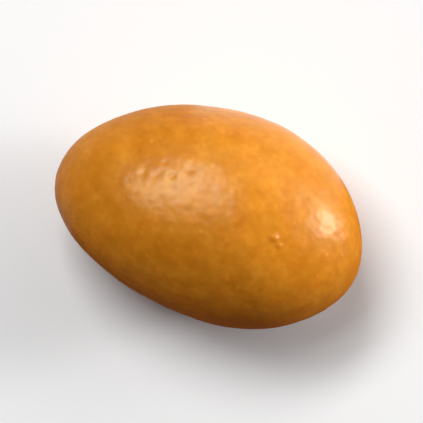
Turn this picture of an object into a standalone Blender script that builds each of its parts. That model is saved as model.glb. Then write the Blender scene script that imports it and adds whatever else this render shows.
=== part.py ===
"""A caramel-coated almond: one rounded, slightly lopsided egg of coating, lying on its broad side.

X runs along the almond, from its narrow tip at -X to its blunt end at +X. Y runs across it, and Z up through its
thickness. The origin is on the surface that the almond lies on, under the middle of its outline.
"""

import math

import bmesh
import bpy
import numpy as np
from mathutils import Vector, noise

# Driving dimensions of the finished piece, in metres.
LENGTH = 0.0260
WIDTH = 0.0174
THICKNESS = 0.0148
REST_SPOT_DEPTH = 0.00014  # how far the flat spot that it lies on cuts into the round underside

# The egg's form, as shares of the half width and half thickness. Stations run from -1 at the tip to 1 at the blunt end.
# A pair is (how much fuller the blunt half is than the tip half, how much both ends draw in from a plain ellipse).
WIDTH_FORM = (0.117, 0.065)
THICKNESS_FORM = (0.070, -0.030)
TOP_FULLNESS = 0.03  # how much higher the top is domed than the underside
SECTION_SQUARENESS = 0.018  # how far a cross-section fills out at its shoulders
SIDEWAYS_BEND = (0.0, 0.030, -0.087, 0.053)  # polynomial in the station: the tip bends towards -Y
UPWARD_BEND = (0.0, 0.045, -0.030)  # likewise: the tip droops a little

# Unevenness of the coating: (size of a swell, height of a swell), in metres, and where the noise starts.
SWELLS = ((0.0085, 0.00022), (0.0038, 0.00005))
SWELL_START = Vector((3.1, 7.7, 1.9))

# Low bulges and hollows of the upper side, in metres: (along, across, radius, height). A hollow's height is below zero.
BULGES = (
    (0.0035, -0.0020, 0.0045, 0.00036),
    (-0.0055, -0.0040, 0.0045, 0.00022),
    (0.0055, 0.0040, 0.0045, -0.00012),
)

GRID = 24  # squares along each side of the six patches that cover the piece

CARAMEL = (0.700, 0.243, 0.012, 1.0)  # linear colour of the coating
ROUGHNESS = 0.31


def clear_scene():
    for obj in list(bpy.data.objects):
        bpy.data.objects.remove(obj)


def fullness(form, station):
    """The cross-section's size at a station, as a share of a plain ellipse's."""
    blunt, taper = form
    return 1 + blunt * station * (1 - station**2) - taper * station**4


def bend(shares, station):
    """How far the cross-section's middle lies off the straight axis."""
    return sum(share * station**power for power, share in enumerate(shares))


def egg_point(direction):
    """The point of the almond's surface that belongs to a direction from its middle."""
    station, across, up = direction
    shoulder = (across * up) ** 2 / max(1 - station**2, 1e-9) ** 2
    filled = 1 + 4 * SECTION_SQUARENESS * shoulder
    dome = TOP_FULLNESS * up * up if up > 0 else 0.0
    sideways = fullness(WIDTH_FORM, station) * filled * across + bend(SIDEWAYS_BEND, station)
    upward = fullness(THICKNESS_FORM, station) * filled * (up + dome) + bend(UPWARD_BEND, station)
    return Vector((LENGTH / 2 * station, WIDTH / 2 * sideways, THICKNESS / 2 * upward))


def bulge_middle(along, across):
    """The point of the plain egg's upper side at that place."""
    station, share = 2 * along / LENGTH, 2 * across / WIDTH
    return egg_point((station, share, math.sqrt(1 - station**2 - share**2)))


def swell(point, bulges):
    """Height of the coating's unevenness at a point in metres."""
    waves = sum(height * noise.noise(point / size + SWELL_START) for size, height in SWELLS)
    return waves + sum(
        height * math.exp(-(((point - middle).length / radius) ** 2)) for middle, radius, height in bulges
    )


def egg_surface(direction, bulges):
    """The egg's point in that direction, moved out or in by the coating's unevenness."""
    point = egg_point(direction)
    outward = Vector(
        (
            direction.x / LENGTH,
            direction.y / WIDTH,
            direction.z / THICKNESS,
        )
    ).normalized()
    return point + outward * swell(point, bulges)


def fit_to_sizes(mesh_points):
    """Scales the points to the driving dimensions, with the underside's flat spot at zero height."""
    points = np.array(mesh_points)
    low, high = points.min(axis=0), points.max(axis=0)
    wanted = np.array((LENGTH, WIDTH, THICKNESS + REST_SPOT_DEPTH))
    points = (points - (low + high) / 2) * wanted / (high - low)
    points[:, 2] += THICKNESS - points[:, 2].max()
    return points


def even_cube(grid):
    """A cube from -1 to 1 with a square grid on each side."""
    mesh = bmesh.new()
    bmesh.ops.create_cube(mesh, size=2)
    bmesh.ops.subdivide_edges(mesh, edges=mesh.edges[:], cuts=grid - 1, use_grid_fill=True)
    return mesh


def cut_rest_spot(mesh):
    """Cuts the underside off at zero height and closes it with one flat face."""
    cut = bmesh.ops.bisect_plane(
        mesh,
        geom=mesh.verts[:] + mesh.edges[:] + mesh.faces[:],
        dist=1e-6,
        plane_co=(0, 0, 0),
        plane_no=(0, 0, -1),
        clear_outer=True,
    )
    rim = [item for item in cut["geom_cut"] if isinstance(item, bmesh.types.BMEdge)]
    bmesh.ops.contextual_create(mesh, geom=rim)


def coating_material():
    material = bpy.data.materials.new("caramel_coating")
    material.use_nodes = True
    shader = material.node_tree.nodes["Principled BSDF"]
    shader.inputs["Base Color"].default_value = CARAMEL
    shader.inputs["Roughness"].default_value = ROUGHNESS
    shader.inputs["Metallic"].default_value = 0.0
    return material


def build_almond():
    shape = even_cube(GRID)
    shape.verts.ensure_lookup_table()
    directions = [
        Vector([math.tan(share * math.pi / 4) for share in vertex.co]).normalized()
        for vertex in shape.verts
    ]
    bulges = [(bulge_middle(along, across), radius, height) for along, across, radius, height in BULGES]
    points = fit_to_sizes([egg_surface(direction, bulges) for direction in directions])
    for vertex, point in zip(shape.verts, points):
        vertex.co = point
    cut_rest_spot(shape)
    bmesh.ops.recalc_face_normals(shape, faces=shape.faces[:])
    mesh = bpy.data.meshes.new("almond")
    shape.to_mesh(mesh)
    shape.free()
    mesh.shade_smooth()
    mesh.materials.append(coating_material())
    almond = bpy.data.objects.new("almond", mesh)
    bpy.context.scene.collection.objects.link(almond)
    return almond


clear_scene()
build_almond()
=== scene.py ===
"""One caramel-coated almond on a white floor, seen from straight above.

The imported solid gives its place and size. A finer mesh of the same form replaces it, with the relief of
the coating's skin: dimples, pits, pimples and burst bubbles. Lengths are in metres unless a comment says
otherwise.
"""

import math
import random

import bmesh
import bpy
import numpy as np
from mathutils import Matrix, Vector, noise


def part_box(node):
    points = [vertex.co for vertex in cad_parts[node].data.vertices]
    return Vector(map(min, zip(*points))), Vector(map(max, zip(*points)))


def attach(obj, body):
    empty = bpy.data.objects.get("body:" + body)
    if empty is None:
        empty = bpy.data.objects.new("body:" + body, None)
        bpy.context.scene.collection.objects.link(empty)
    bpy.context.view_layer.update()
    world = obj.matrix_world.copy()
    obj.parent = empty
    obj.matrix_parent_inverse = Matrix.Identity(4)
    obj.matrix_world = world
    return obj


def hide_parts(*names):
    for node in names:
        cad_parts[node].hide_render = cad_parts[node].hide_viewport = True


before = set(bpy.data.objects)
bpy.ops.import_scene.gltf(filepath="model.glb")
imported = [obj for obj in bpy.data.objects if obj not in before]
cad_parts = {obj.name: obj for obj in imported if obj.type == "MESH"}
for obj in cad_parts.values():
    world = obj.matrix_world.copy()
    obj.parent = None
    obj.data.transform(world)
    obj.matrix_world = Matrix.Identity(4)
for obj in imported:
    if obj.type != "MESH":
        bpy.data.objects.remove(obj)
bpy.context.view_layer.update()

MM = 0.001

LOW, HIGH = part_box("almond")
SIZE = HIGH - LOW
MIDDLE = (LOW + HIGH) / 2

# The egg's form, as in the solid: shares of the half width and half thickness. Stations run from -1 at the
# tip to 1 at the blunt end. A pair is (how much fuller the blunt half is than the tip half, how much both
# ends draw in from a plain ellipse).
WIDTH_FORM = (0.117, 0.065)
THICKNESS_FORM = (0.070, -0.030)
TOP_FULLNESS = 0.03  # how much higher the top is domed than the underside
SECTION_SQUARENESS = 0.018  # how far a cross-section fills out at its shoulders
SIDEWAYS_BEND = (0.0, 0.030, -0.087, 0.053)  # polynomial in the station: the tip bends towards -Y
UPWARD_BEND = (0.0, 0.045, -0.030)  # likewise: the tip droops a little
REST_SPOT_DEPTH = 0.14 * MM  # how far the flat spot that it lies on cuts into the round underside

# Unevenness of the coating, as in the solid: (size of a swell, its height), and where the noise starts.
SWELLS = ((8.5 * MM, 0.22 * MM), (3.8 * MM, 0.05 * MM))
SWELL_START = Vector((3.1, 7.7, 1.9))

# Low bulges and a hollow of the upper side, as in the solid: (along, across, radius, height) in mm.
BULGES = (
    (3.5, -2.0, 4.5, 0.36),
    (-5.5, -4.0, 4.5, 0.22),
    (5.5, 4.0, 4.5, -0.12),
)

GRID = 126  # squares along each side of the six patches: about 190,000 triangles

# Fine unevenness that only the coating's skin has: (size of a dimple, its height, where the noise starts).
DIMPLES = (
    (2.3 * MM, 0.016 * MM, Vector((5.3, 1.2, 8.8))),
    (1.0 * MM, 0.019 * MM, Vector((2.9, 6.1, 4.4))),
    (0.5 * MM, 0.015 * MM, Vector((7.5, 3.3, 0.7))),
)

# Marks that the photo shows on the upper side: (along, across, radius, height) in millimetres, from the
# middle of the outline. A pit's height is below zero.
MARKS = (
    (-6.3, 0.7, 0.34, -0.052),
    (-4.1, 1.45, 0.34, -0.058),
    (-2.9, 2.4, 0.30, -0.044),
    (-5.2, 0.9, 0.24, -0.024),
    (-3.5, 0.5, 0.24, -0.020),
    (-4.9, 2.2, 0.24, -0.022),
    (-2.2, 1.3, 0.26, -0.024),
    (-1.4, 2.6, 0.24, -0.018),
    (-7.2, -0.2, 0.22, -0.016),
    (-0.6, 1.2, 0.22, -0.015),
    (5.45, -0.1, 0.28, 0.165),
    (6.1, -0.5, 0.23, 0.110),
    (-8.8, 2.1, 0.22, 0.016),
    (-9.7, -2.1, 0.22, 0.016),
    (-6.0, -4.7, 0.22, 0.014),
    (8.3, 2.5, 0.24, -0.012),
    (9.2, 2.2, 0.24, -0.018),
    (9.7, 3.5, 0.22, -0.014),
)

# Marks for the sides and the underside, which the photo doesn't show, of the same kinds as those above:
# (how many, least and greatest radius, least and greatest height) in millimetres.
SCATTERED_MARKS = (
    (26, 0.16, 0.28, -0.030, -0.010),
    (12, 0.18, 0.26, 0.010, 0.026),
)
SCATTER_SEED = 11
# A scattered mark's direction from the middle reaches about 1 sideways. This is how far it drops.
LEAST_DROP = 0.2
FURTHER_DROP = 0.8  # typical, on top of the least

# Burst bubbles: direction from the middle, radius in millimetres.
BUBBLES = ((-0.35, -0.85, -0.30, 0.55), (0.30, 0.80, -0.35, 0.42))
BUBBLE_HEIGHT = 0.036 * MM
BUBBLE_RIM_WIDTH = 0.35  # as a share of the radius
BUBBLE_CRATER_WIDTH = 0.7  # likewise
BUBBLE_CRATER_DEPTH = 0.7  # as a share of the rim's height

# The coating's colour is a ramp over its tone, in linear colours from its deeper to its paler places.
DEEP = (0.585, 0.186, 0.0065)
CARAMEL = (0.68, 0.236, 0.0135)
PALE = (0.81, 0.302, 0.022)
FLECK = (0.87, 0.37, 0.036)
TONE_STOPS = ((0.2, DEEP), (0.45, CARAMEL), (0.7, PALE), (1.0, FLECK))
MEAN_TONE = 0.45

# What changes the tone, each by its weight: clouds of three sizes, flecks, and places on the upper side:
# one of the coating's own, two of painted shade and one painted highlight.
PATCH_SIZE = 3.0 * MM
PATCH_WEIGHT = 0.42
MOTTLE_SIZE = 1.1 * MM
MOTTLE_WEIGHT = 0.56
GRAIN_SIZE = 0.50 * MM
GRAIN_WEIGHT = 0.34
CLOUD_MEAN = 0.5  # mean value of the noise that makes the clouds
FLECK_SPACING = 1.1 * MM
FLECK_RADIUS = 0.26 * MM
FLECK_CORE = 0.3  # share of its radius in which a fleck is palest
FLECK_SHARE = 0.5  # of the places that could hold a fleck
FLECK_WEIGHT = 0.18
# Paler and deeper places: middle, radius, weight. The first is the coating's own paler patch; the other
# three are painted light.
TONE_AND_PAINTED_LIGHT_PATCHES = (
    (Vector((3.8, 3.2, 12.6)) * MM, 3.6 * MM, 0.15),
    # Painted shade: darker towards the almond's upper left edge in the picture.
    (Vector((-6.5, 5.2, 10.0)) * MM, 4.5 * MM, -0.16),
    # Painted shade: darker on the lower flank in the picture.
    (Vector((-0.5, -3.4, 13.6)) * MM, 3.8 * MM, -0.12),
    # Painted highlight: paler colour under the main highlight.
    (Vector((-3.0, 1.2, 14.2)) * MM, 5.0 * MM, 0.07),
)

# The colour is multiplied by the first where it leans to red, and by the second where it leans to yellow.
REDDER = (1.01, 0.95, 0.85)
YELLOWER = (0.99, 1.05, 1.15)
LEAN_STOPS = ((0.25, REDDER), (0.75, YELLOWER))
LEAN_SIZE = 1.6 * MM

# The coating's gloss, the light that passes under its skin, and its finest bumps.
IOR = 1.44
GLOSS_TINT = (1.0, 0.90, 0.64)
ROUGHNESS = 0.31
UNEVEN_ROUGHNESS = 0.05
UNDER_SKIN_SHARE = 0.2
UNDER_SKIN_REACH = 1.2 * MM
UNDER_SKIN_COLOURS = (1.0, 0.4, 0.12)  # shares of that reach for red, green and blue light
BUMP_SIZE = 0.22 * MM
BUMP_HEIGHT = 0.008 * MM
BUMP_STRENGTH = 0.5

CAMERA_HEIGHT = 0.30  # above the floor
VIEW_WIDTH = 34.7 * MM  # what the picture shows across, at the almond's mid height
IMAGE_TURN = math.radians(22.25)  # the almond's long axis runs down to the right by this much

# Lamps: name, direction in the picture (degrees from its right edge, anticlockwise), degrees above the
# floor, distance, width and height of the lamp, power in watts.
LAMPS = (
    ("key_softbox", 122, 56, 0.55, 0.34, 0.12, 1.70),
    ("inner_softbox", 124, 69, 0.55, 0.32, 0.14, 0.68),
    ("right_softbox", 9, 13, 0.55, 0.11, 0.16, 1.55),
    ("right_halo", 13, 18, 0.55, 0.36, 0.36, 0.95),
    ("upper_right_fill", 45, 26, 0.80, 0.70, 0.50, 1.40),
    ("top_fill", 90, 34, 0.80, 0.60, 0.35, 0.36),
)
WORLD_STRENGTH = 0.8

FLOOR_COLOUR = (0.97, 0.97, 0.97)
FLOOR_ROUGHNESS = 0.7
FLOOR_REACH = 1.5
GROUND_DEPTH = 0.2 * MM

# Cards between floor and ground, which darken the almond's edges as in the photo: name, start and end in
# the picture (degrees from its right edge, anticlockwise), colour.
# Both cards are painted shade: sheets darker than the floor, which the almond sees in place of the white
# ground.
SHADE_CARDS = (
    ("lower_shade_card", 195, 378, (0.36, 0.145, 0.035)),
    ("left_shade_card", 95, 195, (0.57, 0.44, 0.37)),
)
CARD_ROUGHNESS = 0.9
CARD_REACH = 300 * MM
CARD_DEPTH = 0.1 * MM
CARD_STEPS = 24  # straight bits along a card's round edge


def fullness(form, station):
    """The cross-section's size at a station, as a share of a plain ellipse's."""
    blunt, taper = form
    return 1 + blunt * station * (1 - station**2) - taper * station**4


def bend(shares, station):
    """How far the cross-section's middle lies off the straight axis."""
    return sum(share * station**power for power, share in enumerate(shares))


def egg_point(direction):
    """The point of the almond's surface that belongs to a direction from its middle."""
    station, across, up = direction
    shoulder = (across * up) ** 2 / max(1 - station**2, 1e-9) ** 2
    filled = 1 + 4 * SECTION_SQUARENESS * shoulder
    dome = TOP_FULLNESS * up * up if up > 0 else 0.0
    sideways = fullness(WIDTH_FORM, station) * filled * across + bend(SIDEWAYS_BEND, station)
    upward = fullness(THICKNESS_FORM, station) * filled * (up + dome) + bend(UPWARD_BEND, station)
    return Vector((SIZE.x / 2 * station, SIZE.y / 2 * sideways, SIZE.z / 2 * upward))


def bulge_middle(along, across):
    """The point of the plain egg's upper side at a place that is given in millimetres."""
    station, share = 2 * along * MM / SIZE.x, 2 * across * MM / SIZE.y
    return egg_point((station, share, math.sqrt(1 - station**2 - share**2)))


def swell(point, bulges):
    """Height of the coating's unevenness at a point."""
    waves = sum(height * noise.noise(point / size + SWELL_START) for size, height in SWELLS)
    return waves + sum(
        height * math.exp(-(((point - middle).length / radius) ** 2))
        for middle, radius, height in bulges
    )


def egg_surface(direction, bulges):
    """The egg's point in that direction, moved out or in by the coating's unevenness."""
    point = egg_point(direction)
    outward = Vector((direction.x / SIZE.x, direction.y / SIZE.y, direction.z / SIZE.z)).normalized()
    return point + outward * swell(point, bulges)


def fit_to_box(points):
    """Scales the points to the solid's box, with the underside's flat spot at zero height."""
    low, high = points.min(axis=0), points.max(axis=0)
    wanted = np.array((SIZE.x, SIZE.y, SIZE.z + REST_SPOT_DEPTH))
    points = (points - (low + high) / 2) * wanted / (high - low)
    points[:, 2] += SIZE.z - points[:, 2].max()
    return points


def add_object(name, mesh):
    piece = bpy.data.objects.new(name, mesh)
    bpy.context.scene.collection.objects.link(piece)
    return piece


def egg_mesh():
    """The smooth form, as even squares all over."""
    shape = bmesh.new()
    bmesh.ops.create_cube(shape, size=2)
    bmesh.ops.subdivide_edges(shape, edges=shape.edges[:], cuts=GRID - 1, use_grid_fill=True)
    directions = [
        Vector([math.tan(share * math.pi / 4) for share in vertex.co]).normalized()
        for vertex in shape.verts
    ]
    bulges = [
        (bulge_middle(along, across), radius * MM, height * MM)
        for along, across, radius, height in BULGES
    ]
    points = fit_to_box(np.array([egg_surface(direction, bulges) for direction in directions]))
    for vertex, point in zip(shape.verts, points):
        vertex.co = point
    bmesh.ops.recalc_face_normals(shape, faces=shape.faces[:])
    mesh = bpy.data.meshes.new("coated_almond")
    shape.to_mesh(mesh)
    shape.free()
    return mesh


def vertex_values(mesh, name):
    """The mesh's vertex positions ("co") or normals ("normal") as an array."""
    values = np.empty(len(mesh.vertices) * 3)
    mesh.vertices.foreach_get(name, values)
    return values.reshape(-1, 3)


def dimple_heights(points):
    """The fine unevenness of the skin at every point."""
    heights = np.zeros(len(points))
    for size, height, start in DIMPLES:
        heights += [height * noise.noise(Vector(point) / size + start) for point in points]
    return heights


def bump_heights(points, place, radius, height):
    """A round pimple, or a pit if the height is below zero."""
    distance = np.linalg.norm(points - place, axis=1) / radius
    return height * np.exp(-(distance**2))


def bubble_heights(points, place, radius):
    """A burst bubble: a low rim round a shallow crater."""
    distance = np.linalg.norm(points - place, axis=1) / radius
    rim = np.exp(-(((distance - 1) / BUBBLE_RIM_WIDTH) ** 2))
    crater = np.exp(-((distance / BUBBLE_CRATER_WIDTH) ** 2))
    return BUBBLE_HEIGHT * (rim - BUBBLE_CRATER_DEPTH * crater)


def place_seen_from_above(points, along, across):
    """The point of the upper side at a place that is given in millimetres."""
    sideways = np.hypot(points[:, 0] - along * MM, points[:, 1] - across * MM)
    sideways[points[:, 2] < MIDDLE.z] = np.inf
    return points[sideways.argmin()]


def place_towards(points, direction):
    """The point of the surface that lies in a direction from the middle."""
    return points[((points - np.array(MIDDLE)) @ np.array(direction)).argmax()]


def mark_heights(points):
    """All the single marks: those that the photo shows, and others like them where it doesn't look."""
    heights = np.zeros(len(points))
    for along, across, radius, height in MARKS:
        place = place_seen_from_above(points, along, across)
        heights += bump_heights(points, place, radius * MM, height * MM)
    draw = random.Random(SCATTER_SEED)
    for count, least_radius, most_radius, least_height, most_height in SCATTERED_MARKS:
        for _ in range(count):
            direction = (draw.gauss(0, 1), draw.gauss(0, 1), -LEAST_DROP - abs(draw.gauss(0, FURTHER_DROP)))
            radius = draw.uniform(least_radius, most_radius)
            height = draw.uniform(least_height, most_height)
            heights += bump_heights(points, place_towards(points, direction), radius * MM, height * MM)
    for *direction, radius in BUBBLES:
        heights += bubble_heights(points, place_towards(points, direction), radius * MM)
    return heights


def add_relief(mesh):
    """Moves the smooth form's points in and out by the skin's relief, and keeps the rest spot flat."""
    points = vertex_values(mesh, "co")
    heights = dimple_heights(points) + mark_heights(points)
    points += vertex_values(mesh, "normal") * heights[:, None]
    points[:, 2] = np.maximum(points[:, 2], 0)
    mesh.vertices.foreach_set("co", points.ravel())
    mesh.update()


def build_almond():
    mesh = egg_mesh()
    add_relief(mesh)
    mesh.shade_smooth()
    mesh.materials.append(coating_material())
    almond = add_object("coated_almond", mesh)
    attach(almond, "root")
    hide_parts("almond")


def add_node(tree, kind, **values):
    """A shader node, with its properties and its inputs' values given by name."""
    node = tree.nodes.new(kind)
    for name, value in values.items():
        if name in node.inputs:
            node.inputs[name].default_value = value
        else:
            setattr(node, name, value)
    return node


def add_noise(tree, place, size):
    """Cloudy noise from 0 to 1, with clouds of that size."""
    node = add_node(tree, "ShaderNodeTexNoise", Scale=1 / size, Detail=2.0)
    tree.links.new(place, node.inputs["Vector"])
    return node.outputs["Fac"]


def add_step(tree, value, start, end):
    """A smooth step that rises from 0 to 1 as the value runs from start to end."""
    node = add_node(tree, "ShaderNodeMapRange", interpolation_type="SMOOTHSTEP")
    tree.links.new(value, node.inputs["Value"])
    node.inputs["From Min"].default_value = start
    node.inputs["From Max"].default_value = end
    return node.outputs["Result"]


def add_flecks(tree, place):
    """Small soft dots, 1 in their middle and 0 between them, in some cells of an uneven honeycomb."""
    cells = add_node(tree, "ShaderNodeTexVoronoi", Scale=1 / FLECK_SPACING)
    tree.links.new(place, cells.inputs["Vector"])
    edge = FLECK_RADIUS / FLECK_SPACING
    dots = add_step(tree, cells.outputs["Distance"], edge, FLECK_CORE * edge)
    parts = add_node(tree, "ShaderNodeSeparateColor")
    tree.links.new(cells.outputs["Color"], parts.inputs["Color"])
    chosen = add_step(tree, parts.outputs["Red"], 1 - FLECK_SHARE, 1 - FLECK_SHARE / 2)
    product = add_node(tree, "ShaderNodeMath", operation="MULTIPLY")
    tree.links.new(dots, product.inputs[0])
    tree.links.new(chosen, product.inputs[1])
    return product.outputs[0]


def add_nearness(tree, place, middle, radius):
    """1 at a point, falling softly to 0 at a radius from it."""
    distance = add_node(tree, "ShaderNodeVectorMath", operation="DISTANCE")
    tree.links.new(place, distance.inputs[0])
    distance.inputs[1].default_value = middle
    return add_step(tree, distance.outputs["Value"], radius, 0)


def add_sum(tree, start, parts):
    """start plus the sum of every (output, weight, rest). An output at its rest value adds nothing."""
    total = start - sum(weight * rest for _, weight, rest in parts)
    for output, weight, _ in parts:
        node = add_node(tree, "ShaderNodeMath", operation="MULTIPLY_ADD")
        tree.links.new(output, node.inputs[0])
        node.inputs[1].default_value = weight
        if isinstance(total, float):
            node.inputs[2].default_value = total
        else:
            tree.links.new(total, node.inputs[2])
        total = node.outputs[0]
    return total


def add_ramp(tree, factor, stops):
    """A colour that runs through the (place, colour) stops as the factor rises."""
    node = add_node(tree, "ShaderNodeValToRGB")
    ramp = node.color_ramp
    while len(ramp.elements) < len(stops):
        ramp.elements.new(1.0)
    for element, (place, colour) in zip(ramp.elements, stops):
        element.position = place
        element.color = (*colour, 1)
    tree.links.new(factor, node.inputs["Fac"])
    return node.outputs["Color"]


def add_coating_colour(tree, place, patches, mottles):
    """The ramp over the tone, with painted shade and a painted highlight in some places, leaning to red or
    yellow from place to place.
    """
    placed = [
        (add_nearness(tree, place, middle, radius), weight, 0.0)
        for middle, radius, weight in TONE_AND_PAINTED_LIGHT_PATCHES
    ]
    tone = add_sum(
        tree,
        MEAN_TONE,
        (
            (patches, PATCH_WEIGHT, CLOUD_MEAN),
            (mottles, MOTTLE_WEIGHT, CLOUD_MEAN),
            (add_noise(tree, place, GRAIN_SIZE), GRAIN_WEIGHT, CLOUD_MEAN),
            (add_flecks(tree, place), FLECK_WEIGHT, 0.0),
            *placed,
        ),
    )
    leaning = add_node(tree, "ShaderNodeVectorMath", operation="MULTIPLY")
    tree.links.new(add_ramp(tree, tone, TONE_STOPS), leaning.inputs[0])
    tree.links.new(add_ramp(tree, add_noise(tree, place, LEAN_SIZE), LEAN_STOPS), leaning.inputs[1])
    return leaning.outputs["Vector"]


def coating_material():
    """Satin caramel coating: uneven in colour over patches, mottles, grain and flecks, and in gloss; its
    colour also holds painted shade and a painted highlight in a few places.
    """
    material = bpy.data.materials.new("caramel_coating")
    material.use_nodes = True
    tree = material.node_tree
    shader = tree.nodes["Principled BSDF"]
    shader.inputs["IOR"].default_value = IOR
    shader.inputs["Specular Tint"].default_value = (*GLOSS_TINT, 1)
    shader.inputs["Subsurface Weight"].default_value = UNDER_SKIN_SHARE
    shader.inputs["Subsurface Radius"].default_value = UNDER_SKIN_COLOURS
    shader.inputs["Subsurface Scale"].default_value = UNDER_SKIN_REACH
    place = add_node(tree, "ShaderNodeTexCoord").outputs["Object"]
    patches = add_noise(tree, place, PATCH_SIZE)
    mottles = add_noise(tree, place, MOTTLE_SIZE)
    tree.links.new(add_coating_colour(tree, place, patches, mottles), shader.inputs["Base Color"])
    uneven = [(clouds, UNEVEN_ROUGHNESS, CLOUD_MEAN) for clouds in (patches, mottles)]
    tree.links.new(add_sum(tree, ROUGHNESS, uneven), shader.inputs["Roughness"])
    bump = add_node(tree, "ShaderNodeBump", Strength=BUMP_STRENGTH, Distance=BUMP_HEIGHT)
    tree.links.new(add_noise(tree, place, BUMP_SIZE), bump.inputs["Height"])
    tree.links.new(bump.outputs["Normal"], shader.inputs["Normal"])
    return material


def picture_direction(turn, height):
    """A direction in the world, from its turn in the picture and its height above the floor in degrees."""
    turn = math.radians(turn) + IMAGE_TURN
    height = math.radians(height)
    return Vector((math.cos(turn) * math.cos(height), math.sin(turn) * math.cos(height), math.sin(height)))


def add_sheet(name, outline, height, colour, roughness):
    """A flat sheet of the stage, of one colour, given by its outline as (x, y) pairs."""
    material = bpy.data.materials.new(name)
    material.use_nodes = True
    shader = material.node_tree.nodes["Principled BSDF"]
    shader.inputs["Base Color"].default_value = (*colour, 1)
    shader.inputs["Roughness"].default_value = roughness
    mesh = bpy.data.meshes.new(name)
    mesh.from_pydata([(x, y, height) for x, y in outline], [], [range(len(outline))])
    mesh.materials.append(material)
    sheet = add_object(name, mesh)
    return sheet


def add_floor():
    """A white floor that only the camera sees. For the almond, the ground and the dark cards of painted
    shade take its place.
    """
    square = [(x * FLOOR_REACH, y * FLOOR_REACH) for x, y in ((-1, -1), (1, -1), (1, 1), (-1, 1))]
    floor = add_sheet("floor", square, 0, FLOOR_COLOUR, FLOOR_ROUGHNESS)
    floor.visible_diffuse = False
    floor.visible_glossy = False
    floor.visible_shadow = False
    add_sheet("ground", square, -GROUND_DEPTH, FLOOR_COLOUR, FLOOR_ROUGHNESS)
    for name, start, end, colour in SHADE_CARDS:
        turns = [start + (end - start) * step / CARD_STEPS for step in range(CARD_STEPS + 1)]
        edge = [MIDDLE + picture_direction(turn, 0) * CARD_REACH for turn in turns]
        outline = [(point.x, point.y) for point in (MIDDLE, *edge)]
        add_sheet(name, outline, -CARD_DEPTH, colour, CARD_ROUGHNESS)


def add_lamp(name, turn, height, distance, width, length, power):
    """A rectangular lamp that faces the almond."""
    lamp = bpy.data.lights.new(name, "AREA")
    lamp.shape = "RECTANGLE"
    lamp.size = width
    lamp.size_y = length
    lamp.energy = power
    direction = picture_direction(turn, height)
    holder = add_object(name, lamp)
    holder.location = MIDDLE + direction * distance
    holder.rotation_euler = direction.to_track_quat("Z", "Y").to_euler()
    holder.visible_camera = False


def add_world():
    """A pale backdrop for the low views, which sheds no light of its own."""
    world = bpy.data.worlds.new("studio")
    world.use_nodes = True
    background = world.node_tree.nodes["Background"]
    background.inputs["Color"].default_value = (1, 1, 1, 1)
    background.inputs["Strength"].default_value = WORLD_STRENGTH
    bpy.context.scene.world = world
    world.cycles_visibility.diffuse = False
    world.cycles_visibility.glossy = False


def add_camera():
    camera = add_object("camera", bpy.data.cameras.new("camera"))
    camera.location = (MIDDLE.x, MIDDLE.y, CAMERA_HEIGHT)
    camera.rotation_euler = (0, 0, IMAGE_TURN)
    camera.data.lens = camera.data.sensor_width * (CAMERA_HEIGHT - MIDDLE.z) / VIEW_WIDTH
    bpy.context.scene.camera = camera


add_camera()
add_world()
add_floor()
for lamp in LAMPS:
    add_lamp(*lamp)
build_almond()
bpy.context.scene.view_settings.view_transform = "Standard"
